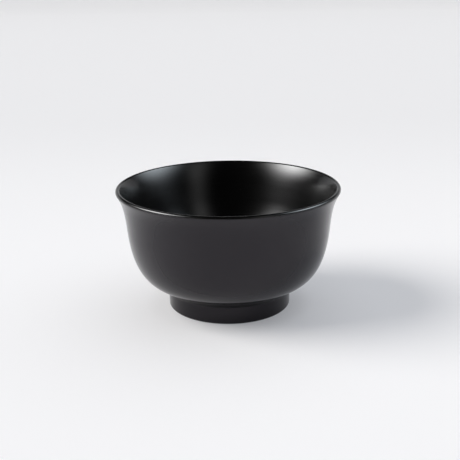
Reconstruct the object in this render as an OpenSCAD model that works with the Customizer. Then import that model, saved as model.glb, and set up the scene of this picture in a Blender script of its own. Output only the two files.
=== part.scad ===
// Lacquer soup bowl: a turned wooden core with cloth, ground and lacquer laid on it in thin shells.
// Every piece is a shell of one closed skin line, turned about Z. The foot stands on z = 0.

/* [Rim] */
// Outside diameter at the rim
rim_d = 120; // [112:1:128]
// Height of the bowl from the table to the lip
height = 66.5; // [62:0.5:72]
// Thickness of the rounded lip
lip_t = 2.4; // [2:0.1:3.2]
// Lean of the lip from upright, in degrees
lip_lean = 29; // [20:1:36]

/* [Wall] */
// How far the lip stands out beyond the waist, where the wall is steepest
flare_out = 5.2; // [3:0.1:7]
// Height of the flare, from the waist up to the lip
flare_h = 21.5; // [19:0.5:24]
// Lean of the wall at the waist, in degrees
waist_lean = 5; // [2:0.5:8]
// Thickness of the wall at the waist
waist_t = 4; // [3.4:0.1:4.6]
// Ratio of the flare's rise that keeps the lean of the waist
flare_hold_low = 0.68; // [0.5:0.01:0.75]
// Ratio of the flare's rise that keeps the lean of the lip
flare_hold_high = 0.2; // [0.1:0.01:0.3]
// Ratio of the belly's rise that keeps the lean of the waist
belly_hold_high = 0.58; // [0.45:0.01:0.65]
// Ratio of the belly's reach that keeps the slope of the underside
belly_hold_low = 0.64; // [0.5:0.01:0.75]
// Lean of the inside at the waist, in degrees
inner_lean = 16; // [12:0.5:20]
// Ratio of the inside flare's rise that keeps the lean of the inside at the waist
inner_flare_hold_low = 0.55; // [0.45:0.01:0.65]
// Ratio of the inside flare's rise that keeps the lean of the lip
inner_flare_hold_high = 0.3; // [0.2:0.01:0.4]
// Ratio of the inside's fall below the waist that keeps its lean there
inner_hold_high = 0.7; // [0.6:0.01:0.78]
// Ratio of the inside's reach that stays level with the floor
inner_hold_low = 0.68; // [0.6:0.01:0.76]

/* [Floor and foot] */
// Thickness of the floor between the inside and the hollow of the foot
floor_t = 5.5; // [4.5:0.1:7]
// Outside diameter of the foot ring
foot_d = 66.6; // [62:0.2:70]
// Height of the straight wall of the foot ring
foot_h = 9; // [8:0.2:10]
// Width of the foot ring
foot_w = 4.2; // [3.6:0.1:5.5]
// Rounding of the two bottom edges of the foot ring
foot_edge_r = 1.2; // [1:0.1:1.5]
// Depth of the hollow in the foot
hollow_h = 8; // [7:0.1:9]
// Rounding of the corner in the hollow
hollow_r = 1.6; // [1:0.1:2]
// Rounding of the crease where the cove leaves the foot
crease_r = 0.6; // [0.4:0.1:1]
// Lean of the straight part of the cove from upright, in degrees
cove_lean = 40; // [30:1:48]
// Length of the straight part of the cove
cove_l = 4; // [3:0.1:4.6]
// Radius of the cove where it meets the belly
cove_r = 2.5; // [1.5:0.1:3.5]
// Slope of the underside where it leaves the cove, in degrees
underside_slope = 14; // [8:1:18]

/* [Layers] */
// Thickness of the lacquer coats
coat_t = 0.2; // [0.15:0.01:0.3]
// Thickness of the ground under the lacquer
ground_t = 0.5; // [0.4:0.01:0.6]
// Thickness of the cloth, which lies on the wood within the ground
cloth_t = 0.3; // [0.2:0.01:0.35]
// Depth of the cloth band over the rim, below the lip
rim_cloth_h = 13; // [9:0.5:16]
// Height of the cloth band on both sides of the foot ring
foot_cloth_h = 4.5; // [3:0.1:5.5]
// Diameter of the cloth disc on the inside floor
floor_cloth_d = 52; // [40:1:60]

/* [Hidden] */
$fn = 180;

// Steps of each curve and of each arc of the skin line
curve_steps = 20;
arc_steps = 8;

// Radii and depths worked out from the sizes above
foot_r = foot_d / 2;
hollow_wall_r = foot_r - foot_w;
lip_r = lip_t / 2;
lip_centre = [rim_d / 2 - lip_r, height - lip_r];
floor_z = hollow_h + floor_t;
rim_cloth_z = height - rim_cloth_h;
waist_z = height - flare_h;
ground_depth = coat_t;
wood_depth = coat_t + ground_t;
cloth_depth = wood_depth - cloth_t;

// Directions along the skin line and points where its curves meet
function along(lean) = [sin(lean), cos(lean)];
function on_arc(centre, r, angle) = centre + r * [cos(angle), sin(angle)];
waist = [rim_d / 2 - flare_out, waist_z];
waist_in = waist + waist_t * [-cos(waist_lean), sin(waist_lean)];
crease_turn = 180 - cove_lean;
crease_centre = [foot_r + crease_r, foot_h];
crease_end = on_arc(crease_centre, crease_r, crease_turn);
cone_end = crease_end + cove_l * along(cove_lean);
cove_turn = 90 + underside_slope;
cove_centre = on_arc(cone_end, -cove_r, crease_turn);
cove_end = on_arc(cove_centre, cove_r, cove_turn);
lip_out = on_arc(lip_centre, lip_r, -lip_lean);
lip_in = on_arc(lip_centre, lip_r, 180 - lip_lean);

// The four curves: end points with the control points between them
flare_rise = lip_out[1] - waist_z;
belly_rise = waist_z - cove_end[1];
belly_reach = waist[0] - cove_end[0];
inner_fall = waist_in[1] - floor_z;
belly = [
    cove_end, cove_end + belly_hold_low * belly_reach * along(90 - underside_slope),
    waist - belly_hold_high * belly_rise * along(waist_lean), waist
];
flare = [
    waist, waist + flare_hold_low * flare_rise * along(waist_lean),
    lip_out - flare_hold_high * flare_rise * along(lip_lean), lip_out
];
flare_in = [
    lip_in, lip_in - inner_flare_hold_high * flare_rise * along(lip_lean),
    waist_in + inner_flare_hold_low * flare_rise * along(inner_lean), waist_in
];
belly_in = [
    waist_in, waist_in - inner_hold_high * inner_fall * along(inner_lean),
    [inner_hold_low * waist_in[0], floor_z], [0, floor_z]
];

// A place on the skin line: its point and the direction into the material, left of the way along the line
function place(point, direction) = [point, [-direction[1], direction[0]] / norm(direction)];
function bezier(c, t) =
    (1 - t) ^ 3 * c[0] + 3 * (1 - t) ^ 2 * t * c[1] + 3 * (1 - t) * t ^ 2 * c[2] + t ^ 3 * c[3];
function bezier_way(c, t) =
    (1 - t) ^ 2 * (c[1] - c[0]) + 2 * (1 - t) * t * (c[2] - c[1]) + t ^ 2 * (c[3] - c[2]);
function curve(c) =
    [for (i = [0:curve_steps]) let (t = i / curve_steps) place(bezier(c, t), bezier_way(c, t))];
function straight(a, b) = [place(a, b - a), place(b, b - a)];
// An arc that turns towards the material where a1 > a0, and away from it where a1 < a0
function arc(centre, r, a0, a1) =
    let (turn = sign(a1 - a0))
    [for (i = [0:arc_steps]) let (a = a0 + (a1 - a0) * i / arc_steps)
        place(on_arc(centre, r, a), turn * [-sin(a), cos(a)])];
// Two lines of places made one
function joined(a, b) = concat(a, [for (i = [1:len(b) - 1]) b[i]]);
// A line of places cut in two where it crosses a value on one axis
function between(a, b, share) =
    let (way = a[1] + share * (b[1] - a[1]))
    [a[0] + share * (b[0] - a[0]), way / norm(way)];
function cut(line, axis, value) =
    let (
        side = sign(line[0][0][axis] - value),
        head = [for (p = line) if (sign(p[0][axis] - value) == side) p],
        tail = [for (p = line) if (sign(p[0][axis] - value) == -side) p],
        last = head[len(head) - 1],
        seam = between(last, tail[0], (value - last[0][axis]) / (tail[0][0][axis] - last[0][axis]))
    )
    [concat(head, [seam]), concat([seam], tail)];

outer_wall = cut(joined(curve(belly), curve(flare)), 1, rim_cloth_z);
inner_wall = cut(joined(curve(flare_in), curve(belly_in)), 1, rim_cloth_z);
inner_floor = cut(inner_wall[1], 0, floor_cloth_d / 2);

// The skin line in stretches, from the middle of the hollow under the foot to the middle of the inside floor
hollow = [
    straight([0, hollow_h], [hollow_wall_r - hollow_r, hollow_h]),
    arc([hollow_wall_r - hollow_r, hollow_h - hollow_r], hollow_r, 90, 0),
    straight([hollow_wall_r, hollow_h - hollow_r], [hollow_wall_r, foot_cloth_h])
];
foot_inside = [
    straight([hollow_wall_r, foot_cloth_h], [hollow_wall_r, foot_edge_r]),
    arc([hollow_wall_r + foot_edge_r, foot_edge_r], foot_edge_r, 180, 270),
    straight([hollow_wall_r + foot_edge_r, 0], [foot_r - foot_edge_r, 0])
];
foot_outside = [
    arc([foot_r - foot_edge_r, foot_edge_r], foot_edge_r, 270, 360),
    straight([foot_r, foot_edge_r], [foot_r, foot_cloth_h])
];
body_outside = [
    straight([foot_r, foot_cloth_h], [foot_r, foot_h]),
    arc(crease_centre, crease_r, 180, crease_turn),
    straight(crease_end, cone_end),
    arc(cove_centre, cove_r, crease_turn, cove_turn),
    outer_wall[0]
];
rim_outside = [outer_wall[1], arc(lip_centre, lip_r, -lip_lean, 0)];
rim_inside = [arc(lip_centre, lip_r, 0, 180 - lip_lean), inner_wall[0]];
body_inside = [inner_floor[0]];
floor_inside = [inner_floor[1]];

// A line at one depth below the skin, over stretches that follow each other
function sunk(stretches, depth) = [
    for (s = [0:len(stretches) - 1])
        for (i = [s == 0 ? 0 : 1:len(stretches[s]) - 1])
            stretches[s][i][0] + depth * stretches[s][i][1]
];
function reversed(points) = [for (i = [len(points) - 1:-1:0]) points[i]];
// The outline of a shell between two depths
function shell(stretches, depth, deeper) = concat(sunk(stretches, depth), reversed(sunk(stretches, deeper)));

module turned(outline) {
    rotate_extrude()
        polygon(outline);
}

module wood_core() {
    skin = concat(
        hollow, foot_inside, foot_outside, body_outside, rim_outside, rim_inside, body_inside, floor_inside
    );
    color("burlywood")
        turned(sunk(skin, wood_depth));
}

module rim_cloth() {
    color("wheat")
        turned(shell(concat(rim_outside, rim_inside), cloth_depth, wood_depth));
}

module floor_cloth() {
    color("wheat")
        turned(shell(floor_inside, cloth_depth, wood_depth));
}

module foot_cloth() {
    color("wheat")
        turned(shell(concat(foot_inside, foot_outside), cloth_depth, wood_depth));
}

// Ground coats fill the space between lacquer and wood, and pass over the cloth
module inner_ground() {
    color("dimgray")
        turned(concat(
            sunk(concat(rim_inside, body_inside, floor_inside), ground_depth),
            reversed(sunk(floor_inside, cloth_depth)),
            reversed(sunk(body_inside, wood_depth)),
            reversed(sunk(rim_inside, cloth_depth))
        ));
}

module outer_ground() {
    color("dimgray")
        turned(concat(
            sunk(concat(hollow, foot_inside, foot_outside, body_outside, rim_outside), ground_depth),
            reversed(sunk(rim_outside, cloth_depth)),
            reversed(sunk(body_outside, wood_depth)),
            reversed(sunk(concat(foot_inside, foot_outside), cloth_depth)),
            reversed(sunk(hollow, wood_depth))
        ));
}

module inner_gloss_coat() {
    color("black")
        turned(shell(concat(rim_inside, body_inside, floor_inside), 0, ground_depth));
}

module outer_satin_coat() {
    color([0.2, 0.19, 0.2])
        turned(shell(concat(foot_outside, body_outside, rim_outside), 0, ground_depth));
}

module base_coat() {
    color([0.16, 0.15, 0.16])
        turned(shell(concat(hollow, foot_inside), 0, ground_depth));
}

wood_core();
rim_cloth();
floor_cloth();
foot_cloth();
inner_ground();
outer_ground();
inner_gloss_coat();
outer_satin_coat();
base_coat();
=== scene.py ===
"""Lacquer soup bowl: its lacquer coats turned as smooth shells, the finishes below them, and the stage."""

import math

import bmesh
import bpy
from bpy.props import FloatProperty, FloatVectorProperty, IntProperty, PointerProperty
from mathutils import Matrix, Vector


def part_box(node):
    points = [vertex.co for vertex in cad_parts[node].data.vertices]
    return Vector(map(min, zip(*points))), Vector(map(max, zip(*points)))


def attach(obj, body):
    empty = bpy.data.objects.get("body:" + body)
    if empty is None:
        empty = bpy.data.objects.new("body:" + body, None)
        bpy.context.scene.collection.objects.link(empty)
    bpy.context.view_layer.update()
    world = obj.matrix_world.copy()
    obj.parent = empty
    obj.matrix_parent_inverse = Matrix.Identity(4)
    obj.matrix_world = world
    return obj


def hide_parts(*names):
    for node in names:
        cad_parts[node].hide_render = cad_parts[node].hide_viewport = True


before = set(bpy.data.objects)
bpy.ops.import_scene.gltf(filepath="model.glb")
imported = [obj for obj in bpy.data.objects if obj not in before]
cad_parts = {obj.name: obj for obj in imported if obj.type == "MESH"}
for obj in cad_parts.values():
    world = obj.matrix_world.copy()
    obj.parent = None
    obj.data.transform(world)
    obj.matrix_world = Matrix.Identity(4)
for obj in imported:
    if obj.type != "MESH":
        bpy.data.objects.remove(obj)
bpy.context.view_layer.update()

bl_info = {
    "name": "Lacquer soup bowl",
    "version": (1, 0, 0),
    "blender": (4, 5, 0),
    "location": "3D View > Sidebar > Bowl",
    "description": "Turns the lacquer coats of a soup bowl, finishes its layers and sets the stage",
    "category": "Object",
}

MM = 0.001
GLOSS_NODE = "inner_gloss_coat"
SATIN_NODE = "outer_satin_coat"
BASE_NODE = "base_coat"
CLOTH_NODES = ("rim_cloth", "floor_cloth", "foot_cloth")
GROUND_NODES = ("inner_ground", "outer_ground")
WOOD_NODE = "wood_core"

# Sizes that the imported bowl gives
FOOT_PROBE_HEIGHT = 5 * MM
COAT_THICKNESS = 0.2 * MM


def widest(node, below=math.inf):
    """Largest radius of a CAD node, up to a height."""
    return max(math.hypot(v.co.x, v.co.y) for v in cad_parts[node].data.vertices if v.co.z <= below)


RIM_DIAMETER = 2 * widest(GLOSS_NODE)
FOOT_DIAMETER = 2 * widest(SATIN_NODE, FOOT_PROBE_HEIGHT)
BOWL_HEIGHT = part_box(GLOSS_NODE)[1].z
FLOOR_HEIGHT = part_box(GLOSS_NODE)[0].z + COAT_THICKNESS
HOLLOW_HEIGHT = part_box(BASE_NODE)[1].z - COAT_THICKNESS


def length(name, description, default):
    """A size in metres."""
    return FloatProperty(
        name=name, description=description, default=default, min=0, unit="LENGTH", precision=5,
    )


def angle(name, description, degrees):
    """An angle, written in degrees."""
    return FloatProperty(name=name, description=description, default=math.radians(degrees), unit="ROTATION")


def ratio(name, description, default):
    """A share between 0 and 1."""
    return FloatProperty(name=name, description=description, default=default, min=0, max=1, subtype="FACTOR")


def amount(name, description, default):
    """A plain number from 0 up."""
    return FloatProperty(name=name, description=description, default=default, min=0)


def colour(name, description, default):
    """A linear colour."""
    return FloatVectorProperty(
        name=name, description=description, default=default, size=3, min=0, subtype="COLOR",
    )


class BowlShape(bpy.types.PropertyGroup):
    """Sizes of the skin line that all the coats follow."""

    rim_diameter: length("Rim diameter", "Outside diameter at the rim", RIM_DIAMETER)
    height: length("Height", "From the table to the lip", BOWL_HEIGHT)
    lip_thickness: length("Lip thickness", "Thickness of the rounded lip", 2.4 * MM)
    lip_lean: angle("Lip lean", "Lean of the lip from upright", 29)
    flare_overhang: length("Flare overhang", "How far the lip stands out beyond the waist", 5.2 * MM)
    flare_height: length("Flare height", "From the waist up to the lip", 21.5 * MM)
    waist_lean: angle("Waist lean", "Lean of the wall at the waist", 5)
    waist_thickness: length("Waist thickness", "Thickness of the wall at the waist", 4 * MM)
    flare_hold_low: ratio("Flare hold, low", "Share of the flare that keeps the waist's lean", 0.68)
    flare_hold_high: ratio("Flare hold, high", "Share of the flare that keeps the lip's lean", 0.2)
    belly_hold_high: ratio("Belly hold, high", "Share of the belly that keeps the waist's lean", 0.58)
    belly_hold_low: ratio("Belly hold, low", "Share of the belly that keeps the underside's slope", 0.64)
    inner_lean: angle("Inside lean", "Lean of the inside at the waist", 16)
    inner_flare_hold_low: ratio(
        "Inside flare hold, low", "Share of the inside flare that keeps the inside lean", 0.55
    )
    inner_flare_hold_high: ratio(
        "Inside flare hold, high", "Share of the inside flare that keeps the lip's lean", 0.3
    )
    inner_hold_high: ratio("Inside hold, high", "Share of the lower inside that keeps the inside lean", 0.7)
    inner_hold_low: ratio("Inside hold, low", "Share of the inside that stays level with the floor", 0.68)
    floor_height: length("Floor height", "Height of the inside floor", FLOOR_HEIGHT)
    foot_diameter: length("Foot diameter", "Outside diameter of the foot ring", FOOT_DIAMETER)
    foot_height: length("Foot height", "Height of the foot's straight wall", 9 * MM)
    foot_width: length("Foot width", "Width of the foot ring", 4.2 * MM)
    foot_edge_radius: length("Foot edge", "Rounding of the foot's bottom edges", 1.2 * MM)
    hollow_height: length("Hollow", "Depth of the hollow in the foot", HOLLOW_HEIGHT)
    hollow_corner_radius: length("Hollow corner", "Rounding of the corner in the hollow", 1.6 * MM)
    crease_radius: length("Crease", "Rounding of the crease where the cove leaves the foot", 0.6 * MM)
    cove_lean: angle("Cove lean", "Lean of the cove's straight part from upright", 40)
    cove_length: length("Cove length", "Length of the cove's straight part", 4 * MM)
    cove_radius: length("Cove", "Radius of the cove where it meets the belly", 2.5 * MM)
    underside_slope: angle("Underside slope", "Slope of the belly where it leaves the cove", 14)
    coat_thickness: length("Coat", "Thickness of the lacquer coats", COAT_THICKNESS)
    seam_rounding: length("Seam rounding", "Rounding of a coat's edge where two coats meet", 0.06 * MM)
    curve_steps: IntProperty(name="Curve steps", description="Points on each curve", default=72, min=8)
    arc_steps: IntProperty(name="Arc steps", description="Points on each arc", default=16, min=4)
    segments: IntProperty(name="Segments", description="Steps round the bowl", default=256, min=24)


class BowlFinish(bpy.types.PropertyGroup):
    """Colours and gloss of the bowl's layers."""

    gloss_colour: colour("Gloss black", "Polished lacquer inside and over the lip", (0.004, 0.004, 0.004))
    gloss_smooth: ratio("Gloss, smooth", "Lowest roughness of the polished lacquer", 0.18)
    gloss_dull: ratio("Gloss, dull", "Highest roughness of the polished lacquer", 0.22)
    satin_colour: colour("Satin black", "Rubbed lacquer outside", (0.0203, 0.0195, 0.0222))
    # Painted shade: the foot and the low belly get a darker black than the open satin, standing in for the
    # shade near the table.
    painted_shade_colour: colour("Painted shade black", "Lacquer on and under the foot", (0.006, 0.0053, 0.0068))
    painted_shade_low: length("Painted shade, low", "Height up to which the lacquer has its painted shade black", 10 * MM)
    painted_shade_high: length("Painted shade, high", "Height from which the lacquer has its open black", 18 * MM)
    satin_smooth: ratio("Satin, smooth", "Lowest roughness of the rubbed lacquer", 0.14)
    satin_dull: ratio("Satin, dull", "Highest roughness of the rubbed lacquer", 0.18)
    satin_index: amount("Satin index", "Index of refraction of the rubbed lacquer", 1.393)
    satin_tint: colour("Satin tint", "Tint of what the rubbed lacquer mirrors", (0.972, 0.91, 1.0))
    rubbed_colour: colour("Rubbed edge", "Lacquer rubbed by the table", (0.05, 0.046, 0.046))
    ground_colour: colour("Ground", "Ground coat under the lacquer", (0.05, 0.042, 0.038))
    cloth_colour: colour("Hemp", "Hemp cloth soaked with lacquer", (0.3, 0.22, 0.13))
    wood_colour: colour("Early wood", "Pale wood of the rings", (0.5, 0.33, 0.19))
    ring_colour: colour("Late wood", "Dark wood of the rings", (0.3, 0.17, 0.085))


class BowlStage(bpy.types.PropertyGroup):
    """Camera, floor and studio light."""

    camera_place: FloatVectorProperty(
        name="Camera place", description="Where the camera stands",
        default=(0, -0.4312, 0.1780), size=3, subtype="TRANSLATION", unit="LENGTH",
    )
    camera_pitch: angle("Camera pitch", "How far the camera looks down", 17.60)
    camera_yaw: angle("Camera yaw", "How far the camera turns to the right", 0.097)
    camera_roll: angle("Camera roll", "Tilt of the camera about its view", -0.72)
    camera_lens: FloatProperty(
        name="Lens", description="Focal length on a sensor 36 mm wide", default=65.03, min=1, unit="CAMERA",
    )
    # Painted shade: the far colour is darker than the near one, standing in for light that falls off behind
    # the bowl.
    floor_near: colour("Floor, near", "Pale floor round the bowl", (0.64, 0.64, 0.64))
    floor_far_shaded: colour("Floor, far", "Floor behind the bowl and its sweep", (0.55, 0.55, 0.55))
    floor_fade: length("Floor fade", "How far behind the bowl the floor has its far colour", 0.6)
    floor_glow: ratio("Floor glow", "Brightness of the floor by itself, like paper lit through", 0.285)
    # Painted contact shadow: the bowl's nearness, read as ambient occlusion, dims the floor's glow.
    contact_shade_distance: length("Contact shade distance", "How near the bowl has to be to dim the floor's glow", 0.016)
    contact_shade_dimming: ratio("Contact shade dimming", "Share of the floor's glow that the bowl can take away", 0.25)
    cool_colour: colour("Cool light", "Tint of the glow, the dome and the back light", (0.97, 0.995, 1.052))
    warm_colour: colour("Warm light", "Tint of the key light", (1.03, 0.993, 0.957))
    sweep_distance: length("Sweep distance", "From the bowl back to the foot of the sweep", 3)
    sweep_radius: length("Sweep radius", "Radius of the curve from floor to sweep", 1)
    sweep_height: length("Sweep height", "Height of the sweep", 1.6)
    floor_reach: length("Floor reach", "How far the floor goes to the sides and to the front", 6)
    backdrop_distance: length("Backdrop distance", "From the bowl to the foot of the round backdrop", 5)
    dome_share: amount("Dome", "Even light from all round that falls on the floor", 0.09)
    key_share: amount("Key", "Light from the left that falls on the floor", 0.58)
    back_share: amount("Back", "Light from behind on the right that falls on the floor", 0.33)
    key_azimuth: angle("Key azimuth", "Turn of the key light from straight behind the bowl", -91)
    key_elevation: angle("Key elevation", "Height of the key light above the floor", 36.5)
    key_spread: angle("Key spread", "Width of the key light as seen from the bowl", 40)
    back_azimuth: angle("Back azimuth", "Turn of the back light from straight behind the bowl", 50)
    back_elevation: angle("Back elevation", "Height of the back light above the floor", 60)
    back_spread: angle("Back spread", "Width of the back light as seen from the bowl", 90)
    shine_distance: length("Shine distance", "From the bowl to the lights that the lacquer mirrors", 5)
    shine_top: angle("Shine top", "Height of the top of those lights above the floor", 60)
    shine_fade: ratio("Shine fade", "Where on their height those lights begin to fade to their top", 0.6)
    key_shine_azimuth: angle("Key shine azimuth", "Turn of the shine on the left", -95)
    key_shine_spread: angle("Key shine spread", "How far the shine on the left spreads to each side", 15.5)
    key_shine_low: ratio("Key shine, low", "Where on its height the shine on the left begins", 0.23)
    key_shine_full: ratio("Key shine, full", "Where on its height the shine on the left is full", 0.6)
    key_shine_radiance: amount("Key shine radiance", "Brightness of the shine on the left", 21.5)
    fill_shine_azimuth: angle("Fill shine azimuth", "Turn of the shine on the right", 82)
    fill_shine_spread: angle("Fill shine spread", "How far the shine on the right spreads to each side", 16)
    fill_shine_low: ratio("Fill shine, low", "Where on its height the shine on the right begins", 0.15)
    fill_shine_full: ratio("Fill shine, full", "Where on its height the shine on the right is full", 0.75)
    fill_shine_radiance: amount("Fill shine radiance", "Brightness of the shine on the right", 11.5)
    fill_colour: colour("Fill colour", "Cool tint of the shine on the right", (0.84, 0.93, 1.0))
    strip_shine_azimuth: angle("Strip shine azimuth", "Turn of the dim strip behind the camera", 141)
    strip_shine_spread: angle("Strip shine spread", "How far the dim strip spreads to each side", 8)
    strip_shine_low: ratio("Strip shine, low", "Where on its height the dim strip begins", 0.08)
    strip_shine_full: ratio("Strip shine, full", "Where on its height the dim strip is full", 0.42)
    strip_shine_radiance: amount("Strip shine radiance", "Brightness of the dim strip", 0.75)


# Skin line: rows of places, each a point (radius, height) and the direction into the bowl's material
def along(lean):
    """Direction up the wall at a lean from upright."""
    return Vector((math.sin(lean), math.cos(lean)))


def on_arc(centre, radius, turn):
    """Point of an arc at an angle."""
    return centre + radius * Vector((math.cos(turn), math.sin(turn)))


def place(point, way):
    """A place on the skin line, with the material on the left of the way along it."""
    return point, Vector((-way.y, way.x)).normalized()


def straight(start, end, steps):
    """A straight stretch."""
    return [place(start.lerp(end, i / steps), end - start) for i in range(steps + 1)]


def arc(centre, radius, start, end, steps):
    """A round stretch from one angle to another."""
    side = math.copysign(1, end - start)
    turns = [start + (end - start) * i / steps for i in range(steps + 1)]
    return [place(on_arc(centre, radius, a), side * Vector((-math.sin(a), math.cos(a)))) for a in turns]


def curve(controls, steps):
    """A stretch on a curve with two end points and two control points."""
    a, b, c, d = controls
    row = []
    for i in range(steps + 1):
        t = i / steps
        s = 1 - t
        point = s ** 3 * a + 3 * s * s * t * b + 3 * s * t * t * c + t ** 3 * d
        row.append(place(point, s * s * (b - a) + 2 * s * t * (c - b) + t * t * (d - c)))
    return row


def joined(*stretches):
    """Stretches that follow each other, made one row."""
    row = list(stretches[0])
    for stretch in stretches[1:]:
        row += stretch[1:]
    return row


class Skin:
    """The three rows that the lacquer coats cover."""

    def __init__(self, shape):
        self.shape = shape
        self.lip_radius = shape.lip_thickness / 2
        self.lip_centre = Vector((shape.rim_diameter / 2 - self.lip_radius, shape.height - self.lip_radius))
        self.foot_radius = shape.foot_diameter / 2
        waist = Vector((shape.rim_diameter / 2 - shape.flare_overhang, shape.height - shape.flare_height))
        across = Vector((-math.cos(shape.waist_lean), math.sin(shape.waist_lean)))
        self.waist = waist
        self.waist_inside = waist + shape.waist_thickness * across
        self.lip_outside = on_arc(self.lip_centre, self.lip_radius, -shape.lip_lean)
        self.lip_inside = on_arc(self.lip_centre, self.lip_radius, math.pi - shape.lip_lean)
        self.flare_rise = self.lip_outside.y - waist.y

    def gloss_row(self):
        """From the lip's outermost line over the lip and down to the middle of the inside floor."""
        shape = self.shape
        fall = self.waist_inside.y - shape.floor_height
        lip = arc(self.lip_centre, self.lip_radius, 0, math.pi - shape.lip_lean, 2 * shape.arc_steps)
        flare = curve((
            self.lip_inside,
            self.lip_inside - shape.inner_flare_hold_high * self.flare_rise * along(shape.lip_lean),
            self.waist_inside + shape.inner_flare_hold_low * self.flare_rise * along(shape.inner_lean),
            self.waist_inside,
        ), shape.curve_steps // 2)
        belly = curve((
            self.waist_inside,
            self.waist_inside - shape.inner_hold_high * fall * along(shape.inner_lean),
            Vector((shape.inner_hold_low * self.waist_inside.x, shape.floor_height)),
            Vector((0, shape.floor_height)),
        ), shape.curve_steps)
        return joined(lip, flare, belly)

    def satin_row(self):
        """From the foot's bottom edge up the outside to the lip's outermost line."""
        shape = self.shape
        edge = shape.foot_edge_radius
        crease_turn = math.pi - shape.cove_lean
        cove_turn = math.pi / 2 + shape.underside_slope
        crease_centre = Vector((self.foot_radius + shape.crease_radius, shape.foot_height))
        crease_end = on_arc(crease_centre, shape.crease_radius, crease_turn)
        cone_end = crease_end + shape.cove_length * along(shape.cove_lean)
        cove_centre = on_arc(cone_end, -shape.cove_radius, crease_turn)
        cove_end = on_arc(cove_centre, shape.cove_radius, cove_turn)
        rise = self.waist.y - cove_end.y
        reach = self.waist.x - cove_end.x
        edge_centre = Vector((self.foot_radius - edge, edge))
        foot_edge = arc(edge_centre, edge, 1.5 * math.pi, 2 * math.pi, shape.arc_steps)
        foot_low = Vector((self.foot_radius, edge))
        foot_high = Vector((self.foot_radius, shape.foot_height))
        foot_wall = straight(foot_low, foot_high, shape.arc_steps)
        crease = arc(crease_centre, shape.crease_radius, math.pi, crease_turn, shape.arc_steps // 2)
        cone = straight(crease_end, cone_end, shape.arc_steps // 2)
        cove = arc(cove_centre, shape.cove_radius, crease_turn, cove_turn, shape.arc_steps)
        belly = curve((
            cove_end,
            cove_end + shape.belly_hold_low * reach * along(math.pi / 2 - shape.underside_slope),
            self.waist - shape.belly_hold_high * rise * along(shape.waist_lean),
            self.waist,
        ), shape.curve_steps)
        flare = curve((
            self.waist,
            self.waist + shape.flare_hold_low * self.flare_rise * along(shape.waist_lean),
            self.lip_outside - shape.flare_hold_high * self.flare_rise * along(shape.lip_lean),
            self.lip_outside,
        ), shape.curve_steps // 2)
        lip = arc(self.lip_centre, self.lip_radius, -shape.lip_lean, 0, shape.arc_steps // 2)
        return joined(foot_edge, foot_wall, crease, cone, cove, belly, flare, lip)

    def base_row(self):
        """From the middle of the hollow down its wall and across the flat of the foot ring."""
        shape = self.shape
        edge = shape.foot_edge_radius
        corner = shape.hollow_corner_radius
        wall = self.foot_radius - shape.foot_width
        roof_end = Vector((wall - corner, shape.hollow_height))
        corner_centre = Vector((wall - corner, shape.hollow_height - corner))
        edge_centre = Vector((wall + edge, edge))
        wall_high = Vector((wall, shape.hollow_height - corner))
        wall_low = Vector((wall, edge))
        flat_end = Vector((self.foot_radius - edge, 0))
        return joined(
            straight(Vector((0, shape.hollow_height)), roof_end, shape.arc_steps),
            arc(corner_centre, corner, math.pi / 2, 0, shape.arc_steps),
            straight(wall_high, wall_low, shape.arc_steps // 2),
            arc(edge_centre, edge, math.pi, 1.5 * math.pi, shape.arc_steps),
            straight(Vector((wall + edge, 0)), flat_end, shape.arc_steps // 2),
        )


# Lacquer coats: a closed outline round a row, turned about the axis
ON_AXIS = 1e-7
MERGE_DISTANCE = 0.001 * MM
SEAM_STEPS = 4
BACK_STEP = 2
SHARP_ANGLE = math.radians(50)
FIT_TOLERANCE = 0.1 * MM
BOX_LOW = 0
BOX_HIGH = 6


def seam_edge(point, inward, outward_way, rounding):
    """The rounded edge of a coat where its row ends, from the skin to the end face."""
    centre = point - rounding * outward_way + rounding * inward
    turns = [math.pi / 2 * i / SEAM_STEPS for i in range(SEAM_STEPS + 1)]
    return [centre + rounding * (math.sin(a) * outward_way - math.cos(a) * inward) for a in turns]


def coat_outline(row, thickness, rounding):
    """The closed outline of a coat, opened where it lies on the axis. Its hidden back has fewer points."""
    front = [point for point, inward in row]
    back = [point + thickness * inward for point, inward in row[::BACK_STEP]]
    if (len(row) - 1) % BACK_STEP:
        back.append(row[-1][0] + thickness * row[-1][1])
    if row[0][0].x > ON_AXIS:
        way = (row[0][0] - row[1][0]).normalized()
        front[:1] = reversed(seam_edge(*row[0], way, rounding))
    if row[-1][0].x > ON_AXIS:
        way = (row[-1][0] - row[-2][0]).normalized()
        front[-1:] = seam_edge(*row[-1], way, rounding)
    loop = front + back[::-1]
    for i, point in enumerate(loop):
        if point.x < ON_AXIS and loop[i - 1].x < ON_AXIS:
            return loop[i:] + loop[:i]
    return loop + loop[:1]


def put(tree, kind, inputs=None, **options):
    """Adds a node, sets its options, and sets or links its inputs by name or by place."""
    node = tree.nodes.new(kind)
    for name, value in options.items():
        setattr(node, name, value)
    for name, value in (inputs or {}).items():
        if isinstance(value, bpy.types.NodeSocket):
            tree.links.new(value, node.inputs[name])
        else:
            node.inputs[name].default_value = value
    return node


def math_node(tree, operation, *values):
    """A Math node's result."""
    return put(tree, "ShaderNodeMath", dict(enumerate(values)), operation=operation).outputs[0]


def vector_node(tree, operation, *values):
    """A Vector Math node, whose result is read by name."""
    return put(tree, "ShaderNodeVectorMath", dict(enumerate(values)), operation=operation)


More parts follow.
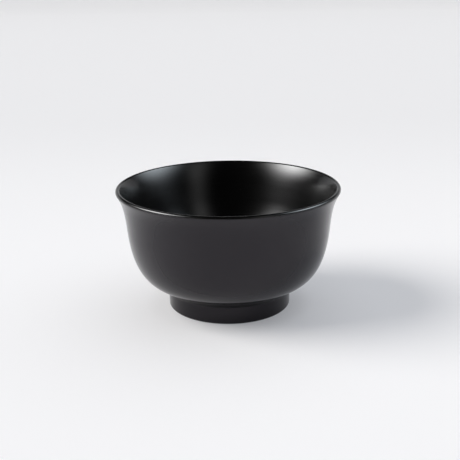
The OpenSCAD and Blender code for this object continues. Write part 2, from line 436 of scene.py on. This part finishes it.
def turning_tree():
    """Node tree that turns a row of outline points about the upright axis, and closes the seam."""
    tree = bpy.data.node_groups.new("turned_coat", "GeometryNodeTree")
    face = tree.interface
    face.new_socket("Outline", in_out="INPUT", socket_type="NodeSocketGeometry")
    face.new_socket("Segments", in_out="INPUT", socket_type="NodeSocketInt")
    face.new_socket("Merge Distance", in_out="INPUT", socket_type="NodeSocketFloat")
    face.new_socket("Finish", in_out="INPUT", socket_type="NodeSocketMaterial")
    face.new_socket("Coat", in_out="OUTPUT", socket_type="NodeSocketGeometry")
    given = tree.nodes.new("NodeGroupInput").outputs
    counts = put(tree, "GeometryNodeAttributeDomainSize", {"Geometry": given["Outline"]})
    rows = counts.outputs["Point Count"]
    columns = math_node(tree, "ADD", given["Segments"], 1)
    grid = put(tree, "GeometryNodeMeshGrid", {"Vertices X": columns, "Vertices Y": rows})
    index = tree.nodes.new("GeometryNodeInputIndex").outputs[0]
    column = math_node(tree, "FLOOR", math_node(tree, "DIVIDE", index, rows))
    row = math_node(tree, "SUBTRACT", index, math_node(tree, "MULTIPLY", column, rows))
    position = tree.nodes.new("GeometryNodeInputPosition").outputs[0]
    sample = put(tree, "GeometryNodeSampleIndex", data_type="FLOAT_VECTOR", domain="POINT")
    tree.links.new(given["Outline"], sample.inputs["Geometry"])
    tree.links.new(position, sample.inputs["Value"])
    tree.links.new(row, sample.inputs["Index"])
    share = math_node(tree, "DIVIDE", column, given["Segments"])
    turn = math_node(tree, "MULTIPLY", share, 2 * math.pi)
    turned = put(
        tree, "ShaderNodeVectorRotate",
        {"Vector": sample.outputs["Value"], "Angle": turn}, rotation_type="Z_AXIS",
    )
    unwrapped = put(
        tree, "GeometryNodeStoreNamedAttribute",
        {"Geometry": grid.outputs["Mesh"], "Name": "UVMap", "Value": grid.outputs["UV Map"]},
        data_type="FLOAT2", domain="CORNER",
    ).outputs[0]
    placed = put(
        tree, "GeometryNodeSetPosition", {"Geometry": unwrapped, "Position": turned.outputs[0]}
    ).outputs[0]
    merged = put(
        tree, "GeometryNodeMergeByDistance", {"Geometry": placed, "Distance": given["Merge Distance"]}
    ).outputs[0]
    smooth = put(tree, "GeometryNodeSetShadeSmooth", {"Geometry": merged}).outputs[0]
    real = put(tree, "GeometryNodeRealizeInstances", {"Geometry": smooth}).outputs[0]
    finished = put(
        tree, "GeometryNodeSetMaterial", {"Geometry": real, "Material": given["Finish"]}
    ).outputs[0]
    tree.links.new(finished, tree.nodes.new("NodeGroupOutput").inputs["Coat"])
    return tree


def set_inputs(modifier, values):
    """Sets a Geometry Nodes modifier's inputs, found by name and set by identifier."""
    for item in modifier.node_group.interface.items_tree:
        if item.name in values:
            modifier[item.identifier] = values[item.name]


def turned_coat(name, outline, segments, material):
    """A closed coat turned from its outline, as a plain mesh."""
    points = [(point.x, 0, point.y) for point in outline]
    edges = [(i, i + 1) for i in range(len(points) - 1)]
    mesh = bpy.data.meshes.new(name + "_outline")
    mesh.from_pydata(points, edges, [])
    coat = bpy.data.objects.new(name, mesh)
    bpy.context.scene.collection.objects.link(coat)
    modifier = coat.modifiers.new("turned_coat", "NODES")
    modifier.node_group = bpy.data.node_groups.get("turned_coat") or turning_tree()
    set_inputs(modifier, {"Segments": segments, "Merge Distance": MERGE_DISTANCE, "Finish": material})
    graph = bpy.context.evaluated_depsgraph_get()
    turned = bpy.data.meshes.new_from_object(coat.evaluated_get(graph), depsgraph=graph)
    coat.modifiers.remove(modifier)
    coat.data = turned
    turned.name = name
    bpy.data.meshes.remove(mesh)
    shell = bmesh.new()
    shell.from_mesh(turned)
    bmesh.ops.recalc_face_normals(shell, faces=shell.faces)
    if any(not edge.is_manifold for edge in shell.edges):
        raise RuntimeError(f"{name} isn't closed")
    shell.to_mesh(turned)
    shell.free()
    turned.set_sharp_from_angle(angle=SHARP_ANGLE)
    return coat


def lay_coat(context, name, row, node, material):
    """Turns a coat over a row of the skin line, in the place of its CAD node."""
    shape = context.scene.bowl_shape
    outline = coat_outline(row, shape.coat_thickness, shape.seam_rounding)
    coat = turned_coat(name, outline, shape.segments, material)
    corners = [Vector(corner) for corner in coat.bound_box]
    for made, wanted in zip((corners[BOX_LOW], corners[BOX_HIGH]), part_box(node)):
        if (made - wanted).length > math.sqrt(3) * FIT_TOLERANCE:
            raise RuntimeError(f"{name} doesn't fit {node}: {tuple(made)} and {tuple(wanted)}")
    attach(coat, "root")
    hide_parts(node)


# Finishes; a Mix node's colour sockets go by number, because its other sockets have the same names
MIX_FIRST = 6
MIX_SECOND = 7
MIX_RESULT = 2


def material_with(name, **values):
    """A new material and its Principled shader, with the values that are the same all over set on it."""
    material = bpy.data.materials.new(name)
    material.use_nodes = True
    shader = material.node_tree.nodes["Principled BSDF"]
    for socket, value in values.items():
        shader.inputs[socket.replace("_", " ")].default_value = value
    return material, material.node_tree, shader


def object_place(tree):
    """Place on the piece, in metres."""
    return tree.nodes.new("ShaderNodeTexCoord").outputs["Object"]


def axes(tree, place_socket):
    """A place's X, Y and Z."""
    return put(tree, "ShaderNodeSeparateXYZ", {0: place_socket}).outputs


def noise(tree, place_socket, scale, detail=2.0):
    """Smooth noise at a number of waves a metre."""
    inputs = {"Vector": place_socket, "Scale": scale, "Detail": detail}
    return put(tree, "ShaderNodeTexNoise", inputs).outputs["Fac"]


def mapped(tree, value, from_low, from_high, to_low=0.0, to_high=1.0):
    """A value brought from one range to another, and held within it."""
    inputs = {0: value, 1: from_low, 2: from_high, 3: to_low, 4: to_high}
    return put(tree, "ShaderNodeMapRange", inputs, interpolation_type="SMOOTHSTEP").outputs[0]


def raised(tree, wave):
    """A wave between -1 and 1, brought between 0 and 1."""
    return math_node(tree, "MULTIPLY_ADD", wave, 0.5, 0.5)


def mixed(tree, share, first, second):
    """Two colours mixed by a share."""
    node = put(tree, "ShaderNodeMix", {0: share}, data_type="RGBA")
    for socket, value in ((node.inputs[MIX_FIRST], first), (node.inputs[MIX_SECOND], second)):
        if isinstance(value, bpy.types.NodeSocket):
            tree.links.new(value, socket)
        else:
            socket.default_value = (*value, 1)
    return node.outputs[MIX_RESULT]


def bumped(tree, shader, height, depth):
    """Gives a shader a relief of a depth in metres."""
    bump = put(tree, "ShaderNodeBump", {"Strength": 1.0, "Distance": depth, "Height": height})
    tree.links.new(bump.outputs[0], shader.inputs["Normal"])


def new_group(name, inputs, outputs):
    """An empty shader node group with number inputs and outputs, and its tree's ends."""
    tree = bpy.data.node_groups.new(name, "ShaderNodeTree")
    for label in inputs:
        tree.interface.new_socket(label, in_out="INPUT", socket_type="NodeSocketFloat")
    for label in outputs:
        tree.interface.new_socket(label, in_out="OUTPUT", socket_type="NodeSocketFloat")
    return tree, tree.nodes.new("NodeGroupInput").outputs, tree.nodes.new("NodeGroupOutput").inputs


def round_place(tree, place_socket):
    """A place's offset from the axis, the length of that offset, and the place's height."""
    offset = vector_node(tree, "MULTIPLY", place_socket, (1, 1, 0)).outputs["Vector"]
    radius = vector_node(tree, "LENGTH", offset).outputs["Value"]
    return offset, radius, axes(tree, place_socket)["Z"]


BRUSH_TURNS = 1.6
STREAK_DETAIL = 3.0
STREAK_SHARE = 0.55
STREAK_RELIEF = 0.25
RIPPLE_DETAIL = 1.0
GRAIN_SCALE = 5200.0
GRAIN_DETAIL = 1.0
CLOUD_SCALE = 46.0
CLOUD_DETAIL = 3.0
SMOOTH_BELOW = 0.38
DULL_ABOVE = 0.62


def lacquer_group():
    """Brushed and rubbed lacquer: streaks round the bowl, a soft ripple, a fine grain and slow clouds."""
    existing = bpy.data.node_groups.get("lacquer_surface")
    if existing:
        return existing
    tree, given, made = new_group(
        "lacquer_surface",
        ("Streak Scale", "Ripple Scale", "Grain Share", "Smooth", "Dull"),
        ("Cloud", "Roughness", "Height"),
    )
    spot = object_place(tree)
    offset, radius, height = round_place(tree, spot)
    away = vector_node(tree, "NORMALIZE", offset).outputs["Vector"]
    way = math_node(tree, "MULTIPLY", math_node(tree, "ADD", radius, height), given["Streak Scale"])
    turn = vector_node(tree, "SCALE", away)
    turn.inputs["Scale"].default_value = BRUSH_TURNS
    rise = put(tree, "ShaderNodeCombineXYZ", {"Z": way}).outputs[0]
    streak_place = vector_node(tree, "ADD", turn.outputs[0], rise).outputs["Vector"]
    streak = noise(tree, streak_place, 1.0, STREAK_DETAIL)
    ripple = noise(tree, spot, given["Ripple Scale"], RIPPLE_DETAIL)
    grain = noise(tree, spot, GRAIN_SCALE, GRAIN_DETAIL)
    cloud = noise(tree, spot, CLOUD_SCALE, CLOUD_DETAIL)
    cloud_part = math_node(tree, "MULTIPLY", cloud, 1 - STREAK_SHARE)
    uneven = math_node(tree, "MULTIPLY_ADD", streak, STREAK_SHARE, cloud_part)
    tree.links.new(cloud, made["Cloud"])
    dull = put(
        tree, "ShaderNodeMapRange",
        {0: uneven, 1: SMOOTH_BELOW, 2: DULL_ABOVE, 3: given["Smooth"], 4: given["Dull"]},
    ).outputs[0]
    tree.links.new(dull, made["Roughness"])
    relief = math_node(tree, "MULTIPLY_ADD", streak, STREAK_RELIEF, ripple)
    relief = math_node(tree, "MULTIPLY_ADD", grain, given["Grain Share"], relief)
    tree.links.new(relief, made["Height"])
    return tree


def lacquered(tree, **values):
    """The lacquer group placed in a material."""
    node = put(tree, "ShaderNodeGroup", node_tree=lacquer_group())
    for label, value in values.items():
        node.inputs[label.replace("_", " ")].default_value = value
    return node.outputs


RUB_TOP = 1.1 * MM
SCRATCH_SCALE = 900.0
SCRATCH_DETAIL = 4.0
SCRATCH_FROM = 0.5
SCRATCH_FULL = 0.66


def rub_group():
    """Rubbing by the table: strongest where the foot stands, broken up by scratches."""
    existing = bpy.data.node_groups.get("table_rub")
    if existing:
        return existing
    tree, given, made = new_group("table_rub", ("Rub Top", "Scratch Scale"), ("Rub",))
    spot = object_place(tree)
    low = mapped(tree, axes(tree, spot)["Z"], given["Rub Top"], 0.0)
    scratches = noise(tree, spot, given["Scratch Scale"], SCRATCH_DETAIL)
    scratch = mapped(tree, scratches, SCRATCH_FROM, SCRATCH_FULL)
    tree.links.new(math_node(tree, "MULTIPLY", low, scratch), made["Rub"])
    return tree


def rubbed(tree):
    """The rubbing by the table, placed in a material."""
    node = put(tree, "ShaderNodeGroup", node_tree=rub_group())
    node.inputs["Rub Top"].default_value = RUB_TOP
    node.inputs["Scratch Scale"].default_value = SCRATCH_SCALE
    return node.outputs["Rub"]


CLOUD_SHADE = 0.7
GLOSS_STREAK_SCALE = 900.0
GLOSS_RIPPLE_SCALE = 260.0
GLOSS_RELIEF = 0.0008 * MM
SATIN_STREAK_SCALE = 700.0
SATIN_RIPPLE_SCALE = 330.0
SATIN_GRAIN_SHARE = 0.22
SATIN_RELIEF = 0.002 * MM
RUB_DULLING = 0.15


def darker(base, share):
    """A colour at a share of its brightness."""
    return tuple(share * channel for channel in base)


def gloss_lacquer(finish):
    """Polished black lacquer, inside and over the lip."""
    material, tree, shader = material_with("gloss_lacquer")
    lacquer = lacquered(
        tree, Streak_Scale=GLOSS_STREAK_SCALE, Ripple_Scale=GLOSS_RIPPLE_SCALE, Grain_Share=0.0,
        Smooth=finish.gloss_smooth, Dull=finish.gloss_dull,
    )
    shade = mixed(tree, lacquer["Cloud"], darker(finish.gloss_colour, CLOUD_SHADE), finish.gloss_colour)
    tree.links.new(shade, shader.inputs["Base Color"])
    tree.links.new(lacquer["Roughness"], shader.inputs["Roughness"])
    bumped(tree, shader, lacquer["Height"], GLOSS_RELIEF)
    return material


def satin_lacquer(finish, name):
    """Rubbed black lacquer, outside and under the foot, with a painted shade: a deeper black painted on the
    foot and low on the belly.
    """
    material, tree, shader = material_with(
        name, IOR=finish.satin_index, Specular_Tint=(*finish.satin_tint, 1)
    )
    lacquer = lacquered(
        tree, Streak_Scale=SATIN_STREAK_SCALE, Ripple_Scale=SATIN_RIPPLE_SCALE,
        Grain_Share=SATIN_GRAIN_SHARE, Smooth=finish.satin_smooth, Dull=finish.satin_dull,
    )
    rub = rubbed(tree)
    height = axes(tree, object_place(tree))["Z"]
    # Painted shade: by height, the base colour goes from the darker black low down to the open satin black
    # higher up.
    clear_of_painted_shade = mapped(tree, height, finish.painted_shade_low, finish.painted_shade_high)
    shades = [
        mixed(tree, clear_of_painted_shade, darker(finish.painted_shade_colour, share), darker(finish.satin_colour, share))
        for share in (CLOUD_SHADE, 1)
    ]
    worn = mixed(tree, rub, mixed(tree, lacquer["Cloud"], *shades), finish.rubbed_colour)
    tree.links.new(worn, shader.inputs["Base Color"])
    dull = math_node(tree, "MULTIPLY_ADD", rub, RUB_DULLING, lacquer["Roughness"])
    tree.links.new(dull, shader.inputs["Roughness"])
    bumped(tree, shader, lacquer["Height"], SATIN_RELIEF)
    return material


WOOD_ROUGHNESS = 0.7
WOOD_RELIEF = 0.03 * MM
PITH_OFFSET = (-0.09, 0.03, 0.0)
RING_STRETCH = (1, 1, 0.06)
RING_TURN = 924.0
RING_SHARPNESS = 2.5
RING_WANDER = 7.0
RING_WANDER_SCALE = 30.0
RING_WANDER_DETAIL = 3.0
PORE_STRETCH = (1, 1, 0.05)
PORE_SCALE = 2600.0
PORE_FROM = 0.45
PORE_FULL = 0.7
PORE_SHARE = 0.35


def core_wood(finish):
    """Turned hardwood: growth rings round a pith outside the bowl, with pores along the grain."""
    material, tree, shader = material_with("core_wood", Roughness=WOOD_ROUGHNESS)
    spot = object_place(tree)
    shifted = vector_node(tree, "SUBTRACT", spot, PITH_OFFSET).outputs["Vector"]
    ring_place = vector_node(tree, "MULTIPLY", shifted, RING_STRETCH).outputs["Vector"]
    radius = vector_node(tree, "LENGTH", ring_place).outputs["Value"]
    wander = noise(tree, spot, RING_WANDER_SCALE, RING_WANDER_DETAIL)
    turn = math_node(tree, "MULTIPLY", radius, RING_TURN)
    wave = raised(tree, math_node(tree, "SINE", math_node(tree, "MULTIPLY_ADD", wander, RING_WANDER, turn)))
    late_wood = math_node(tree, "POWER", wave, RING_SHARPNESS)
    stretched = vector_node(tree, "MULTIPLY", spot, PORE_STRETCH).outputs["Vector"]
    pores = mapped(tree, noise(tree, stretched, PORE_SCALE), PORE_FROM, PORE_FULL)
    grain = math_node(tree, "MULTIPLY_ADD", pores, PORE_SHARE, late_wood)
    tone = mixed(tree, grain, finish.wood_colour, finish.ring_colour)
    tree.links.new(tone, shader.inputs["Base Color"])
    bumped(tree, shader, grain, WOOD_RELIEF)
    return material


CLOTH_ROUGHNESS = 0.8
CLOTH_SHADE = 0.4
CLOTH_RELIEF = 0.1 * MM
THREAD_PITCH = 0.7 * MM
THREAD_WANDER = 3.0
THREAD_WANDER_SCALE = 240.0


def hemp_cloth(finish):
    """Open hemp weave soaked with lacquer: threads over and under, with uneven thickness."""
    material, tree, shader = material_with("hemp_cloth", Roughness=CLOTH_ROUGHNESS)
    spot = object_place(tree)
    offset, radius, height = round_place(tree, spot)
    aside = axes(tree, offset)
    turn = math_node(tree, "ARCTAN2", aside["Y"], aside["X"])
    wander = math_node(tree, "MULTIPLY", noise(tree, spot, THREAD_WANDER_SCALE), THREAD_WANDER)
    round_way = math_node(tree, "MULTIPLY", turn, radius)
    up_way = math_node(tree, "ADD", radius, height)
    threads = []
    for way in (round_way, up_way):
        phase = math_node(tree, "MULTIPLY_ADD", way, 2 * math.pi / THREAD_PITCH, wander)
        threads.append(math_node(tree, "SINE", phase))
    weave = raised(tree, math_node(tree, "MULTIPLY", *threads))
    tone = mixed(tree, weave, darker(finish.cloth_colour, CLOTH_SHADE), finish.cloth_colour)
    tree.links.new(tone, shader.inputs["Base Color"])
    bumped(tree, shader, weave, CLOTH_RELIEF)
    return material


GROUND_ROUGHNESS = 0.85
GROUND_SHADE = 0.6
GROUND_RELIEF = 0.03 * MM
GROUND_DARK_BELOW = 0.5
GROUND_LIGHT_ABOVE = 1.1
EARTH_SCALE = 3200.0
EARTH_DETAIL = 3.0
KNIFE_STRETCH = (1, 1, 12)
KNIFE_SCALE = 180.0
KNIFE_SHARE = 0.6


def ground_coat(finish):
    """Ground of lacquer and earth, scraped level: grains and faint knife marks."""
    material, tree, shader = material_with("ground_coat", Roughness=GROUND_ROUGHNESS)
    spot = object_place(tree)
    grains = noise(tree, spot, EARTH_SCALE, EARTH_DETAIL)
    stretched = vector_node(tree, "MULTIPLY", spot, KNIFE_STRETCH).outputs["Vector"]
    scrape = noise(tree, stretched, KNIFE_SCALE)
    relief = math_node(tree, "MULTIPLY_ADD", scrape, KNIFE_SHARE, grains)
    light = mapped(tree, relief, GROUND_DARK_BELOW, GROUND_LIGHT_ABOVE)
    tone = mixed(tree, light, darker(finish.ground_colour, GROUND_SHADE), finish.ground_colour)
    tree.links.new(tone, shader.inputs["Base Color"])
    bumped(tree, shader, relief, GROUND_RELIEF)
    return material


def finish_nodes(names, material):
    """Gives CAD nodes a finish, in the place of their own."""
    for name in names:
        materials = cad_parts[name].data.materials
        materials.clear()
        materials.append(material)


# Stage
PAPER_ROUGHNESS = 0.9
SWEEP_STEPS = 24
BACKDROP_STEPS = 96
LAMP_DISTANCE = 5
SHINE_SPREADS = 8
SHINE_MIDDLE = 0.5
WHITE = (1, 1, 1)


def floor_paper(stage):
    """Pale matte paper that glows a little to the camera and to the lacquer; a painted contact shadow dims
    its glow close to the bowl, and a painted shade darkens its colour behind the bowl.
    """
    material, tree, shader = material_with(
        "floor_paper", Roughness=PAPER_ROUGHNESS, Specular_IOR_Level=0.0,
        Emission_Color=(*stage.cool_colour, 1),
    )
    away = axes(tree, object_place(tree))["Y"]
    # Painted shade: the floor's colour darkens behind the bowl.
    tone = mixed(tree, mapped(tree, away, 0.0, stage.floor_fade), stage.floor_near, stage.floor_far_shaded)
    tree.links.new(tone, shader.inputs["Base Color"])
    path = tree.nodes.new("ShaderNodeLightPath").outputs
    seen = math_node(tree, "MAXIMUM", path["Is Camera Ray"], path["Is Glossy Ray"])
    seen = math_node(tree, "MAXIMUM", seen, path["Is Transmission Ray"])
    # Painted contact shadow: the glow is dimmed where the bowl is near.
    clear = put(tree, "ShaderNodeAmbientOcclusion", {"Distance": stage.contact_shade_distance}).outputs["AO"]
    glow = mapped(tree, clear, 0.0, 1.0, stage.floor_glow * (1 - stage.contact_shade_dimming), stage.floor_glow)
    tree.links.new(math_node(tree, "MULTIPLY", seen, glow), shader.inputs["Emission Strength"])
    return material


def swept(stage, distance):
    """The floor's line outwards from a distance: up a round bend to the height of the sweep."""
    radius = stage.sweep_radius
    turns = [math.pi / 2 * i / SWEEP_STEPS for i in range(SWEEP_STEPS + 1)]
    bend = [(distance + radius * math.sin(a), radius * (1 - math.cos(a))) for a in turns]
    return [*bend, (distance + radius, stage.sweep_height)]


def stage_sheet(name, rows, paper):
    """A smooth sheet of the stage through rows of points."""
    row = len(rows[0])
    corners = [i + j * row for j in range(len(rows) - 1) for i in range(row - 1)]
    mesh = bpy.data.meshes.new(name)
    mesh.from_pydata(
        [point for points in rows for point in points], [],
        [(i, i + 1, i + 1 + row, i + row) for i in corners],
    )
    mesh.shade_smooth()
    mesh.materials.append(paper)
    sheet = bpy.data.objects.new(name, mesh)
    bpy.context.scene.collection.objects.link(sheet)
    return sheet


def lay_floor(stage, paper):
    """A floor at the height of the foot, swept up behind the bowl."""
    line = [(-stage.floor_reach, 0), *swept(stage, stage.sweep_distance)]
    rows = [[(side * stage.floor_reach, away, up) for side in (-1, 1)] for away, up in line]
    stage_sheet("floor", rows, paper)


def hang_backdrop(stage, paper):
    """A round backdrop for the other sides, which only the camera sees."""
    turns = [2 * math.pi * i / BACKDROP_STEPS for i in range(BACKDROP_STEPS + 1)]
    line = swept(stage, stage.backdrop_distance)
    rows = [[(out * math.cos(a), out * math.sin(a), up) for a in turns] for out, up in line]
    backdrop = stage_sheet("backdrop", rows, paper)
    backdrop.visible_diffuse = False
    backdrop.visible_glossy = False
    backdrop.visible_shadow = False


def hang(name, lamp, azimuth, elevation, distance):
    """A lamp turned to the bowl."""
    level = math.cos(elevation)
    spot = distance * Vector((level * math.sin(azimuth), level * math.cos(azimuth), math.sin(elevation)))
    light = bpy.data.objects.new(name, lamp)
    light.location = spot
    light.rotation_euler = (-spot).to_track_quat("-Z", "Y").to_euler()
    bpy.context.scene.collection.objects.link(light)
    return light


def hang_broad(name, azimuth, elevation, spread, share, tint):
    """A broad light that gives a share of the floor's light, and that the lacquer doesn't mirror."""
    lamp = bpy.data.lights.new(name, "SUN")
    lamp.angle = spread
    lamp.energy = math.pi * share / math.sin(elevation)
    lamp.color = tint
    hang(name, lamp, azimuth, elevation, LAMP_DISTANCE).visible_glossy = False


def hang_shine(name, stage, azimuth, spread, low, full, radiance, tint):
    """A soft light that only the lacquer mirrors, fading to its top, its bottom and both sides."""
    lamp = bpy.data.lights.new(name, "AREA")
    lamp.shape = "RECTANGLE"
    lamp.size = SHINE_SPREADS * stage.shine_distance * math.cos(stage.shine_top / 2) * math.tan(spread)
    lamp.size_y = 2 * stage.shine_distance * math.tan(stage.shine_top / 2)
    lamp.energy = radiance * lamp.size * lamp.size_y * math.pi
    lamp.color = tint
    lamp.use_nodes = True
    tree = lamp.node_tree
    spot = tree.nodes.new("ShaderNodeNewGeometry").outputs["Parametric"]
    face = axes(tree, spot)
    aside = math_node(tree, "MULTIPLY", math_node(tree, "SUBTRACT", face["X"], SHINE_MIDDLE), SHINE_SPREADS)
    square = math_node(tree, "MULTIPLY", aside, aside)
    bell = math_node(tree, "EXPONENT", math_node(tree, "DIVIDE", square, -2.0))
    rise = mapped(tree, face["Y"], low, full)
    fall = mapped(tree, face["Y"], stage.shine_fade, 1.0, 1.0, 0.0)
    glow = math_node(tree, "MULTIPLY", bell, math_node(tree, "MULTIPLY", rise, fall))
    tree.links.new(glow, tree.nodes["Emission"].inputs["Strength"])
    hang(name, lamp, azimuth, stage.shine_top / 2, stage.shine_distance).visible_diffuse = False


def light_room(stage):
    """An even dim light from all round, which the lacquer doesn't mirror."""
    world = bpy.data.worlds.new("soft_studio")
    world.use_nodes = True
    background = world.node_tree.nodes["Background"].inputs
    background["Color"].default_value = (*stage.cool_colour, 1)
    background["Strength"].default_value = stage.dome_share
    bpy.context.scene.world = world
    world.cycles_visibility.glossy = False


def aim_camera(stage):
    """The camera at the photograph's viewing angle."""
    lens = bpy.data.cameras.new("photo_view")
    lens.lens = stage.camera_lens
    camera = bpy.data.objects.new("photo_view", lens)
    turn = Matrix.Rotation(-stage.camera_yaw, 4, "Z")
    tip = Matrix.Rotation(math.pi / 2 - stage.camera_pitch, 4, "X")
    roll = Matrix.Rotation(stage.camera_roll, 4, "Z")
    camera.matrix_world = Matrix.Translation(stage.camera_place) @ turn @ tip @ roll
    bpy.context.scene.collection.objects.link(camera)
    bpy.context.scene.camera = camera


class BOWL_OT_gloss_coat(bpy.types.Operator):
    """Lays the polished lacquer over the inside and the lip"""

    bl_idname = "bowl.gloss_coat"
    bl_label = "Gloss coat"

    def execute(self, context):
        scene = context.scene
        row = Skin(scene.bowl_shape).gloss_row()
        lay_coat(context, "gloss_coat", row, GLOSS_NODE, gloss_lacquer(scene.bowl_finish))
        return {"FINISHED"}


class BOWL_OT_satin_coat(bpy.types.Operator):
    """Lays the rubbed lacquer over the outside, from the foot's edge to the lip"""

    bl_idname = "bowl.satin_coat"
    bl_label = "Satin coat"

    def execute(self, context):
        scene = context.scene
        row = Skin(scene.bowl_shape).satin_row()
        finish = satin_lacquer(scene.bowl_finish, "satin_lacquer")
        lay_coat(context, "satin_coat", row, SATIN_NODE, finish)
        return {"FINISHED"}


class BOWL_OT_foot_coat(bpy.types.Operator):
    """Lays the rubbed lacquer in the hollow of the foot and under the foot ring"""

    bl_idname = "bowl.foot_coat"
    bl_label = "Foot coat"

    def execute(self, context):
        scene = context.scene
        row = Skin(scene.bowl_shape).base_row()
        finish = satin_lacquer(scene.bowl_finish, "foot_lacquer")
        lay_coat(context, "foot_coat", row, BASE_NODE, finish)
        return {"FINISHED"}


class BOWL_OT_under_layers(bpy.types.Operator):
    """Finishes the wood, the hemp cloth and the ground under the lacquer"""

    bl_idname = "bowl.under_layers"
    bl_label = "Layers under the lacquer"

    def execute(self, context):
        finish = context.scene.bowl_finish
        finish_nodes((WOOD_NODE,), core_wood(finish))
        finish_nodes(CLOTH_NODES, hemp_cloth(finish))
        finish_nodes(GROUND_NODES, ground_coat(finish))
        return {"FINISHED"}


class BOWL_OT_stage(bpy.types.Operator):
    """Lays the floor, hangs the lights and aims the camera"""

    bl_idname = "bowl.stage"
    bl_label = "Stage"

    def execute(self, context):
        stage = context.scene.bowl_stage
        aim_camera(stage)
        paper = floor_paper(stage)
        lay_floor(stage, paper)
        hang_backdrop(stage, paper)
        light_room(stage)
        hang_broad(
            "key_light", stage.key_azimuth, stage.key_elevation, stage.key_spread, stage.key_share,
            stage.warm_colour,
        )
        hang_broad(
            "back_light", stage.back_azimuth, stage.back_elevation, stage.back_spread, stage.back_share,
            stage.cool_colour,
        )
        hang_shine(
            "key_shine", stage, stage.key_shine_azimuth, stage.key_shine_spread, stage.key_shine_low,
            stage.key_shine_full, stage.key_shine_radiance, WHITE,
        )
        hang_shine(
            "fill_shine", stage, stage.fill_shine_azimuth, stage.fill_shine_spread, stage.fill_shine_low,
            stage.fill_shine_full, stage.fill_shine_radiance, stage.fill_colour,
        )
        hang_shine(
            "strip_shine", stage, stage.strip_shine_azimuth, stage.strip_shine_spread, stage.strip_shine_low,
            stage.strip_shine_full, stage.strip_shine_radiance, WHITE,
        )
        context.scene.view_settings.view_transform = "Standard"
        return {"FINISHED"}


GROUPS = (("bowl_shape", BowlShape), ("bowl_finish", BowlFinish), ("bowl_stage", BowlStage))
OPERATORS = (BOWL_OT_gloss_coat, BOWL_OT_satin_coat, BOWL_OT_foot_coat, BOWL_OT_under_layers, BOWL_OT_stage)


class BOWL_PT_panel(bpy.types.Panel):
    """Lists the bowl's sizes, finishes and steps"""

    bl_label = "Lacquer soup bowl"
    bl_idname = "BOWL_PT_panel"
    bl_space_type = "VIEW_3D"
    bl_region_type = "UI"
    bl_category = "Bowl"

    def draw(self, context):
        for step in OPERATORS:
            self.layout.operator(step.bl_idname)
        for name, group in GROUPS:
            box = self.layout.box()
            for label in group.__annotations__:
                box.prop(getattr(context.scene, name), label)


def register():
    for name, group in GROUPS:
        bpy.utils.register_class(group)
        setattr(bpy.types.Scene, name, PointerProperty(type=group))
    for part in (*OPERATORS, BOWL_PT_panel):
        bpy.utils.register_class(part)


def unregister():
    for part in (BOWL_PT_panel, *reversed(OPERATORS)):
        bpy.utils.unregister_class(part)
    for name, group in reversed(GROUPS):
        delattr(bpy.types.Scene, name)
        bpy.utils.unregister_class(group)


def main():
    register()
    bpy.ops.bowl.gloss_coat()
    bpy.ops.bowl.satin_coat()
    bpy.ops.bowl.foot_coat()
    bpy.ops.bowl.under_layers()
    bpy.ops.bowl.stage()


if __name__ == "__main__":
    main()
